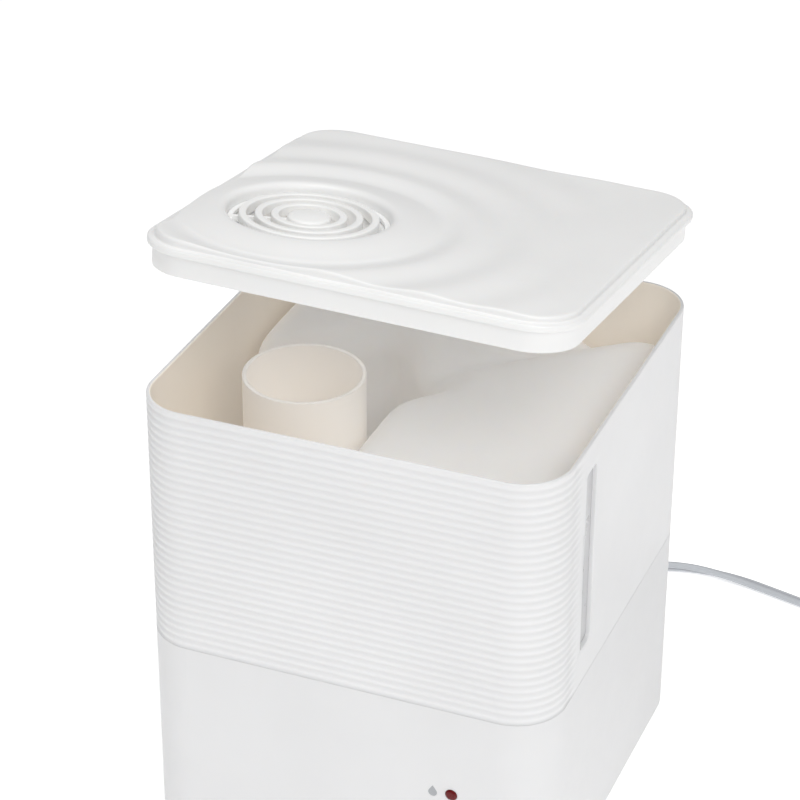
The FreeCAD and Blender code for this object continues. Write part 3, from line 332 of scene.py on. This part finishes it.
def coil_route():
    """Three turns side by side going in, a climb, and three turns going out over them.
    The radius changes by one cord's width in the last quarter of a turn."""
    turns = 5.0 + 125.0 / 360.0
    t = np.linspace(0, turns, int(turns * 24) + 1)[1:]

    def between(a, b):
        return eased((t - a) / (b - a))

    radius = 39.2 - 6.2 * (between(0.75, 1.0) + between(1.75, 2.0))
    radius += 6.2 * (between(turns - 2.0, turns - 1.75) + between(turns - 1.0, turns - 0.75))
    height = 2.1 + 3.95 * between(2.45, 2.72) + 0.45 * between(turns - 0.5, turns)
    angle = pi / 2 - 2 * pi * t
    x = COIL[0] + radius * np.cos(angle)
    y = COIL[1] + radius * np.sin(angle)
    ring = np.stack((x, y, height), axis=-1)
    leave = radians(-35)
    along = np.array((sin(leave), -cos(leave), 0.0))
    tail = ring[-1] + along * np.array((6, 14, 24, 36.0))[:, None]
    return np.concatenate((ring, tail))


def cord_line():
    """The cord's centreline, read back from a smooth spline through its route and its coil."""
    curve = bpy.data.curves.new("cord_line", "CURVE")
    curve.dimensions = "3D"
    curve.resolution_u = 6
    points = np.concatenate((np.array(ROUTE, dtype=float), coil_route())) * MM
    spline = curve.splines.new("NURBS")
    spline.points.add(len(points) - 1)
    spline.points.foreach_set("co", np.concatenate((points, np.ones((len(points), 1))), axis=1).ravel())
    spline.order_u = 3
    spline.use_endpoint_u = True
    holder = bpy.data.objects.new("cord_line", curve)
    mesh = bpy.data.meshes.new_from_object(holder)
    line = np.empty(len(mesh.vertices) * 3)
    mesh.vertices.foreach_get("co", line)
    bpy.data.objects.remove(holder)
    bpy.data.meshes.remove(mesh)
    bpy.data.curves.remove(curve)
    line = line.reshape(-1, 3)
    step = np.linalg.norm(np.diff(line, axis=0), axis=1)
    return line[np.concatenate(([True], step > 1e-6))]


def flat_cord():
    """Two cores side by side under one sheath: a rounded oblong section with a groove along each
    flat, standing on edge near the gland and turning flat along the floor."""
    line = cord_line() / MM
    ahead = np.gradient(line, axis=0)
    ahead /= np.linalg.norm(ahead, axis=1)[:, None]
    level = np.cross(ahead, (0, 0, 1.0))
    level /= np.linalg.norm(level, axis=1)[:, None]
    above = np.cross(level, ahead)
    flat = eased((line[:, 0] - 66) / 52)
    roll = np.where(line[:, 1] > 120, radians(78) * (1 - flat), 0)[:, None]
    wide = np.cos(roll) * level + np.sin(roll) * above
    thick = -np.sin(roll) * level + np.cos(roll) * above
    half = np.array((1.0, 0.97, 0.86, 0.66, 0.43, 0.23, 0.12, 0.05, 0.0)) * CORD_WIDE / 2
    across = np.concatenate((half, -half[-2::-1]))
    over = CORD_THICK / 2 * (1 - np.abs(2 * across / CORD_WIDE) ** 2.6) ** 0.55
    over = over - 0.6 * np.exp(-(across / 0.32) ** 2)
    across = np.concatenate((across, across[-2:0:-1]))
    over = np.concatenate((over, -over[-2:0:-1]))
    points, faces = swept(line, wide, thick, across, over)
    # Faces along the groove take the darker grey of painted shade.
    groove = np.maximum(np.abs(across), np.abs(np.roll(across, -1))) < 0.4
    which = np.concatenate((np.tile(groove, len(line) - 1).astype(int), np.zeros(2 * len(across), int)))
    cord = piece("mains_cord", points, faces, "root", "cord_grey",
                 ("power_cord", "cord_coil", "cord_tail"),
                 materials=[FINISH["cord_grey"], GROOVE_SHADE], which=which, crease=60)


flat_cord()


# ---------------------------------------------------------------- upper casing
def casing():
    """Rounded-square wall with an even set of shallow concave bands round its front, a soft rim
    and a slot in its right side. The grid goes round the plan, and up outside and down inside."""
    right = np.unique(np.concatenate((np.linspace(-74, -64.5, 6), np.linspace(*SLOT_Y, 9),
                                      np.linspace(-30, 70, 9))))
    core, out = squircle(right)
    columns = len(core)
    bands = RIB_TOP + RIB_PITCH / 2 - np.arange(RIB_COUNT * 8 + 1) / 8 * RIB_PITCH
    bands = np.sort(bands[bands > SPLIT + 0.7])
    for end in SLOT_Z:
        bands = np.where(np.abs(bands - end) < 0.25, end, bands)
    straight = np.unique(np.concatenate(([SPLIT + 0.25], bands, [RIM - 0.75])))
    phase = (RIB_TOP - straight) / RIB_PITCH
    nearest = np.round(phase)
    off = np.abs(phase - nearest) * RIB_PITCH / 1.5
    ribbed = (nearest >= 0) & (nearest < RIB_COUNT)
    depth = np.where(ribbed, np.clip(1 - off ** 2, 0, 1) ** 1.2, 0) * RIB_DEPTH
    outer = depth[:, None] * eased((-63.2 - core[:, 1]) / 10)
    crown = rounding((0.75, RIM - 0.75), 0.75, 180, 90, 5)[1:]
    inner_crown = rounding((WALL - 0.75, RIM - 0.75), 0.75, 90, 0, 5)[:-1]
    inset = np.concatenate((np.full((1, columns), 0.12), outer,
                            np.repeat(crown[:, :1], columns, 1), np.repeat(inner_crown[:, :1], columns, 1),
                            np.full((len(straight), columns), WALL), np.full((1, columns), WALL)))
    height = np.concatenate(([SPLIT + 0.02], straight, crown[:, 1], inner_crown[:, 1], straight[::-1],
                             [SPLIT + 0.02]))
    plan = core + out * (CORNER - inset[..., None])
    level = np.broadcast_to(height[:, None, None], inset.shape + (1,))
    points = np.concatenate((plan, level), axis=-1).reshape(-1, 3)
    rows = len(height)
    faces = loops(rows, columns)
    row, col = faces[:, 0] // columns, faces[:, 0] % columns

    low, high = (int(np.argmin(np.abs(straight - end))) + 1 for end in SLOT_Z)
    flip = rows - 1
    right_side = (core[:, 0] > 0) & (out[:, 0] > 0.999)
    near, far = (np.where(right_side & (np.abs(core[:, 1] - end) < 0.01))[0][0] for end in SLOT_Y)
    outside = (row >= low) & (row < high)
    inside = (row >= flip - high) & (row < flip - low)
    keep = ~((outside | inside) & (col >= near) & (col < far))

    def border(bottom, top):
        """Indices of the block's border, anticlockwise in y and z."""
        lower = bottom * columns + np.arange(near, far)
        after = np.arange(bottom, top, 1 if top > bottom else -1) * columns + far
        upper = top * columns + np.arange(far, near, -1)
        before = np.arange(top, bottom, -1 if top > bottom else 1) * columns + near
        return np.concatenate((lower, after, upper, before))

    middle, half = np.array(SLOT_MIDDLE), np.array(SLOT_HALF)

    def slot_edge(at):
        """Each border point drawn in to the slot's rounded outline."""
        block = np.array(((SLOT_Y[1] - SLOT_Y[0]) / 2, (SLOT_Z[1] - SLOT_Z[0]) / 2))
        local = np.clip((points[at][:, 1:] - middle) / block * half, -half, half)
        straight_part = np.clip(local, -(half - SLOT_CORNER), half - SLOT_CORNER)
        rest = local - straight_part
        span = np.linalg.norm(rest, axis=1)[:, None]
        return middle + straight_part + rest / np.maximum(span, 1e-6) * SLOT_CORNER

    def widened(edge, by):
        """The outline moved away from its middle by a small distance."""
        return middle + (edge - middle) * (1 + by / np.linalg.norm(edge - middle, axis=1)[:, None])

    ring_out, ring_in = border(low, high), border(flip - low, flip - high)
    edge_out, edge_in = slot_edge(ring_out), slot_edge(ring_in)
    n = len(ring_out)
    first_new = len(points)
    layers = [np.column_stack((np.full(n, x), edge)) for x, edge in (
        (HALF, widened(edge_out, SLOT_SOFT)), (HALF - 0.12, widened(edge_out, 0.1)),
        (HALF - SLOT_SOFT, edge_out), (HALF - WALL, edge_in))]
    points = np.concatenate((points, *layers))
    strips = [ring_out] + [first_new + k * n + np.arange(n) for k in range(4)] + [ring_in]
    patch = np.concatenate([np.stack((a, np.roll(a, -1), np.roll(b, -1), b), axis=-1)
                            for a, b in zip(strips, strips[1:])])
    # Inside rows take the second material: the painted light of the lighter, warmer, glowing inner wall.
    which = np.concatenate(((row[keep] >= len(straight) + 6).astype(int), np.zeros(len(patch), int)))
    faces = np.concatenate((faces[keep], patch))
    piece("casing_upper", points, [*faces], "root", "casing_white", ("upper_casing",),
          materials=[FINISH["casing_white"], INNER_WALL_PAINTED_LIGHT], which=which, crease=50)


casing()


# ---------------------------------------------------------------- lid
def lift(points):
    """Points of the closed lid turned up to the height at which it is held."""
    angle, bearing = radians(LID_OPEN), radians(LID_BEARING)
    pivot = np.array(LID_PIVOT)
    axis = np.array((-cos(bearing), -sin(bearing), 0.0))
    away = np.asarray(points) - pivot
    along = (away @ axis)[:, None] * axis
    return pivot + away * cos(angle) + np.cross(axis, away) * sin(angle) + along * (1 - cos(angle))


def ripple(x, y):
    """Height of the water rings spread from the grille: a broad collar, then waves 29.5 mm apart
    that die away outwards and towards the far right corner."""
    away = np.hypot(x - TUBE[0], y - TUBE[1])
    wave = np.cos(2 * pi * (away - WAVE_START) / WAVE_LENGTH)
    strength = 1.2 * np.exp(-(away - WAVE_START) / 48.0)
    waves = strength * wave * np.clip((away - 57.25) / 14.75, 0, 1) ** 0.5
    collar = 3.0 * np.cos(pi / 2 * np.clip((away - 39.0) / 21.0, 0, 1)) ** 2
    collar = collar - 0.9 * np.exp(-((away - 59.5) / 9.0) ** 2)
    calm = np.clip((x - 35) / 60.0, 0, 1) * np.clip((y + 90) / 90, 0, 1)
    return (waves * (1 - eased(calm)) + collar) * 0.9 - 0.2


def lid():
    """Plate with water rings, a step, a flange and a skirt, hollow below, with a nozzle under the
    round opening. Columns run from the opening to the edge, and rows go round the section."""
    core, out = squircle(np.linspace(-72, 72, 40), side_steps=40, corner_steps=14)
    edge = core + out * CORNER - TUBE
    heading = np.arctan2(edge[:, 1], edge[:, 0])
    ray = np.stack((np.cos(heading), np.sin(heading)), axis=-1)

    def square(inset):
        return core + out * (CORNER - inset)

    def circle(radius):
        return TUBE + ray * radius

    def sheet(plan, z):
        return np.column_stack((plan, np.broadcast_to(z, len(plan))))

    inner, outer = circle(GRILLE + 4.2), square(3.6 + 1.3)
    rows = [sheet(circle(GRILLE), LID_TOP - 3.0)]
    for out_by, drop in ((0.0, 3.2), (0.25, 2.1), (0.9, 1.1), (1.9, 0.42), (3.1, 0.08)):
        plan = circle(GRILLE + out_by)
        rows.append(sheet(plan, LID_TOP + ripple(plan[:, 0], plan[:, 1]) - drop))
    for v in np.linspace(0, 1, 60):
        plan = inner * (1 - v) + outer * v
        rows.append(sheet(plan, LID_TOP + ripple(plan[:, 0], plan[:, 1])))
    lip = rows[-1][:, 2]
    for inset, share in ((4.35, 0.10), (3.95, 0.35), (3.68, 0.9), (3.6, 1.6)):
        plan = square(inset)
        rows.append(sheet(plan, lip - share))
    rows.append(sheet(square(3.5), FLANGE_TOP + 0.35))
    rows.append(sheet(square(3.1), FLANGE_TOP + 0.05))
    for inset, z in [(1.0, FLANGE_TOP), (0.45, FLANGE_TOP - 0.12), (0.12, FLANGE_TOP - 0.45),
                     (0, FLANGE_TOP - 1.0), (0, LID_LOW + 0.5), (0.15, LID_LOW + 0.15), (0.5, LID_LOW),
                     (2.6, LID_LOW), (2.6, LID_LOW - 9.5), (2.75, LID_LOW - 9.85), (3.1, LID_LOW - 10),
                     (4.5, LID_LOW - 10), (4.85, LID_LOW - 9.85), (5.0, LID_LOW - 9.5), (5.0, LID_TOP - 2.6),
                     (5.2, LID_TOP - 2.4)]:
        rows.append(sheet(square(inset), z))
    rows.append(sheet(square(5.2) * 0.5 + circle(38.4) * 0.5, LID_TOP - 2.4))
    for radius, z in [(38.0, LID_TOP - 2.4), (38.0, LID_TOP - 5.8), (NOZZLE_OUT, LID_TOP - 7.4),
                      (NOZZLE_OUT, NOZZLE_LOW + 0.4), (NOZZLE_OUT - 0.4, NOZZLE_LOW),
                      (NOZZLE_IN + 0.4, NOZZLE_LOW), (NOZZLE_IN, NOZZLE_LOW + 0.4),
                      (NOZZLE_IN, LID_TOP - 6.4), (GRILLE, LID_TOP - 4.8)]:
        rows.append(sheet(circle(radius), z))
    points = lift(np.concatenate(rows))
    faces = loops(len(rows), len(core))[:, ::-1]
    piece("lid_plate", points, [*faces], "lid", "lid_white", ("lid_cover",), crease=50)


lid()


def grille():
    """Three rings with rounded tops round a low domed disc, on three spokes and a seat ring."""
    top = LID_TOP + 0.35
    low = LID_TOP - 4.0

    def ring(inner, outer):
        return np.concatenate(([(inner, low)], rounding((inner + 0.7, top - 0.7), 0.7, 180, 90),
                               rounding((outer - 0.7, top - 0.7), 0.7, 90, 0), [(outer, low)]))[::-1]

    parts = [turned(ring(a, b), TUBE) for a, b in ((27.8, 31.2), (20.7, 24.1), (13.4, 16.9))]
    dome = [(r, top + 0.1 - 0.9 * (r / 9.7) ** 2) for r in np.linspace(0.05, 8.9, 10)]
    dome += [(9.5, top - 1.1), (9.7, top - 1.6), (9.7, low), (0.05, low)]
    parts.append(turned(dome[::-1], TUBE))
    parts.append(turned([(33.9, low - 0.6), (GRILLE - 0.1, low - 0.6), (GRILLE - 0.1, low + 1.0),
                         (33.9, low + 1.0)], TUBE))
    bar = np.array([(0, -1.2), (35, -1.2), (35, 1.2), (0, 1.2)])
    for angle in (203, 323, 83):
        a = radians(angle)
        spin = np.array(((cos(a), sin(a)), (-sin(a), cos(a))))
        plan = bar @ spin + TUBE
        box = np.concatenate([np.column_stack((plan, np.full(4, z))) for z in (low - 0.6, low + 1.8)])
        quads = np.array([(3, 2, 1, 0), (4, 5, 6, 7), (0, 1, 5, 4), (1, 2, 6, 5), (2, 3, 7, 6), (3, 0, 4, 7)])
        parts.append((box, quads))
    points, faces = joined(parts)
    piece("grille_rings", lift(points), [*faces], "lid", "grille_grey", ("mist_grille",), crease=40)


grille()


# ---------------------------------------------------------------- tank
def net(field, low, step):
    """Smooth skin of a field's zero level: one point in each cell the level crosses, at the mean of
    its edge crossings, and one quad for each grid edge that the level crosses."""
    inside = field < 0
    shape = np.array(field.shape)
    total = np.zeros(tuple(shape - 1) + (3,))
    hits = np.zeros(tuple(shape - 1))
    crossings = []
    for axis in range(3):
        head = [slice(None)] * 3
        tail = [slice(None)] * 3
        head[axis], tail[axis] = slice(None, -1), slice(1, None)
        a, b = field[tuple(head)], field[tuple(tail)]
        cross = inside[tuple(head)] != inside[tuple(tail)]
        share = np.where(cross, a / np.where(cross, a - b, 1), 0)
        crossings.append((axis, cross, inside[tuple(head)]))
        others = [k for k in range(3) if k != axis]
        for i in (0, 1):
            for j in (0, 1):
                pick = [slice(None)] * 3
                pick[others[0]] = slice(i, i + shape[others[0]] - 1)
                pick[others[1]] = slice(j, j + shape[others[1]] - 1)
                on = cross[tuple(pick)]
                hits += on
                total[..., axis] += np.where(on, share[tuple(pick)], 0)
                total[..., others[0]] += on * i
                total[..., others[1]] += on * j
    live = hits > 0
    number = np.full(live.shape, -1)
    number[live] = np.arange(live.sum())
    cells = np.argwhere(live)
    points = low + (cells + total[live] / hits[live][:, None]) * step
    quads = []
    for axis, cross, start_in in crossings:
        u, v = [(1, 2), (2, 0), (0, 1)][axis]
        at = np.argwhere(cross)
        at = at[(at[:, u] > 0) & (at[:, v] > 0) & (at[:, u] < shape[u] - 1) & (at[:, v] < shape[v] - 1)]
        shift = np.zeros((4, 3), int)
        shift[1, u] = shift[2, u] = shift[2, v] = shift[3, v] = -1
        corner = at[:, None, :] + shift
        quad = number[corner[..., 0], corner[..., 1], corner[..., 2]]
        outward = start_in[at[:, 0], at[:, 1], at[:, 2]]
        quads.append(np.where(outward[:, None], quad, quad[:, ::-1]))
    return points, np.concatenate(quads)


def tank():
    """Blown pillow form: an L-shaped plan with soft corners, a crowned top that dips in a saddle
    between the lobes, edges rounded 15 mm above and 6 mm below, and the filling neck below."""
    x = y = np.arange(-98, 98.1, TANK_STEP)
    z = np.arange(78, 214, TANK_STEP)
    gx, gy = np.meshgrid(x, y, indexing="ij")
    corners = np.array(TANK_PLAN, dtype=float)
    nearest = np.full(gx.shape, 1e9)
    within = np.zeros(gx.shape, bool)
    for a, b in zip(corners, np.roll(corners, -1, axis=0)):
        edge = b - a
        rx, ry = gx - a[0], gy - a[1]
        share = np.clip((rx * edge[0] + ry * edge[1]) / (edge @ edge), 0, 1)
        nearest = np.minimum(nearest, np.hypot(rx - share * edge[0], ry - share * edge[1]))
        level = (a[1] > gy) != (b[1] > gy)
        within ^= level & (gx < a[0] + edge[0] * (gy - a[1]) / (edge[1] if edge[1] else 1))
    plan = np.where(within, -nearest, nearest)
    span = np.arange(-12, 13)
    kernel = np.exp(-(span * TANK_STEP / 5.5) ** 2 / 2)
    kernel /= kernel.sum()
    padded = np.pad(plan, 12, mode="reflect", reflect_type="odd")
    padded = np.apply_along_axis(lambda row: np.convolve(row, kernel, "valid"), 0, padded)
    plan = np.apply_along_axis(lambda row: np.convolve(row, kernel, "valid"), 1, padded)
    aside = np.abs((gx + 8) * 50 - (gy - 25) * 53) / np.hypot(50, 53)
    top = 206.4 + 2.2 * np.clip(-plan / 42, 0, 1) ** 0.7 - 12.5 * np.exp(-(aside / 14.0) ** 2)

    def edged(distance, over, radius):
        """Distance to the meeting of a wall and a face with a rounded edge."""
        a, b = distance + radius, over + radius
        return np.hypot(np.maximum(a, 0), np.maximum(b, 0)) + np.minimum(np.maximum(a, b), 0) - radius

    wall = plan[..., None] * np.ones(len(z))
    upper = edged(wall, z - top[..., None], 15.0)
    lower = edged(wall, 94.2 - z, 6.0)
    body = np.where(z > 150, upper, lower)
    neck = np.maximum(np.hypot(gx - 50, gy + 45)[..., None] - 16.9, np.abs(z - 90.0) - 9.6)
    points, faces = net(np.minimum(body, neck), np.array((x[0], y[0], z[0])), TANK_STEP)
    piece("tank_shell", points, [*faces], "tank", "milky", ("tank_body",), crease=70)


tank()


def spring():
    """The valve's coil spring, a round wire on a helix."""
    low, high = (np.array(corner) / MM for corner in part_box("valve_spring"))
    middle = (low + high) / 2
    radius = (high[0] - low[0]) / 2 - SPRING_WIRE
    t = np.linspace(0, 1, SPRING_TURNS * 24 + 1)
    angle = 2 * pi * SPRING_TURNS * t
    out = np.stack((np.cos(angle), np.sin(angle), 0 * t), axis=-1)
    line = middle + radius * out
    line[:, 2] = low[2] + SPRING_WIRE + (high[2] - low[2] - 2 * SPRING_WIRE) * t
    around = np.arange(12) * 2 * pi / 12
    up = np.repeat([[0.0, 0.0, 1.0]], len(t), axis=0)
    points, faces = swept(line, out, up, SPRING_WIRE * np.cos(around), SPRING_WIRE * np.sin(around))
    coil = piece("valve_coil", points, faces, "cap", "steel", ("valve_spring",))
    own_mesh(coil)


spring()


# ---------------------------------------------------------------- finishes of the CAD pieces
SLOTS = {part["node"]: part["material_slot"] for part in frame["record"]["subparts"]}
# The lower housing takes the darker white of painted shade, and the tube its cream with painted glow.
OWN = {"mist_tube": TUBE_CREAM, "base_housing": BASE_WHITE_SHADED}
for name, thing in NODES.items():
    for place in thing.material_slots:
        place.link = "OBJECT"
        place.material = OWN.get(name, FINISH[SLOTS[name]])


# ---------------------------------------------------------------- floor and light
def stage():
    """A pale sweep under a bright, even studio sky, with a soft main light from the right."""
    scene = bpy.context.scene
    scene.view_settings.view_transform = "Standard"
    scene.view_settings.look = "None"
    mesh = bpy.data.meshes.new("floor")
    mesh.from_pydata([(-6, -6, 0), (6, -6, 0), (6, 6, 0), (-6, 6, 0)], [], [(0, 1, 2, 3)])
    floor = bpy.data.objects.new("floor", mesh)
    floor.location.z = -0.0002
    scene.collection.objects.link(floor)
    mesh.materials.append(plastic("floor_white", (0.93, 0.93, 0.93), 0.9, vary=0.0, grain=0.0, glow=0.46))
    world = bpy.data.worlds.new("studio")
    scene.world = world
    world.use_nodes = True
    world.node_tree.nodes["Background"].inputs["Color"].default_value = (1.0, 1.0, 1.0, 1)
    world.node_tree.nodes["Background"].inputs["Strength"].default_value = 0.36
    for name, place, size, power in (("key_light", (1.15, -1.35, 1.75), 1.3, 18.5),
                                     ("top_light", (-0.1, -0.2, 2.3), 1.1, 17.5)):
        lamp = bpy.data.lights.new(name, "AREA")
        lamp.shape = "DISK"
        lamp.size = size
        lamp.energy = power
        thing = bpy.data.objects.new(name, lamp)
        thing.location = place
        thing.rotation_euler = (Vector((0, 0, 0.15)) - Vector(place)).to_track_quat("-Z", "Y").to_euler()
        scene.collection.objects.link(thing)


stage()
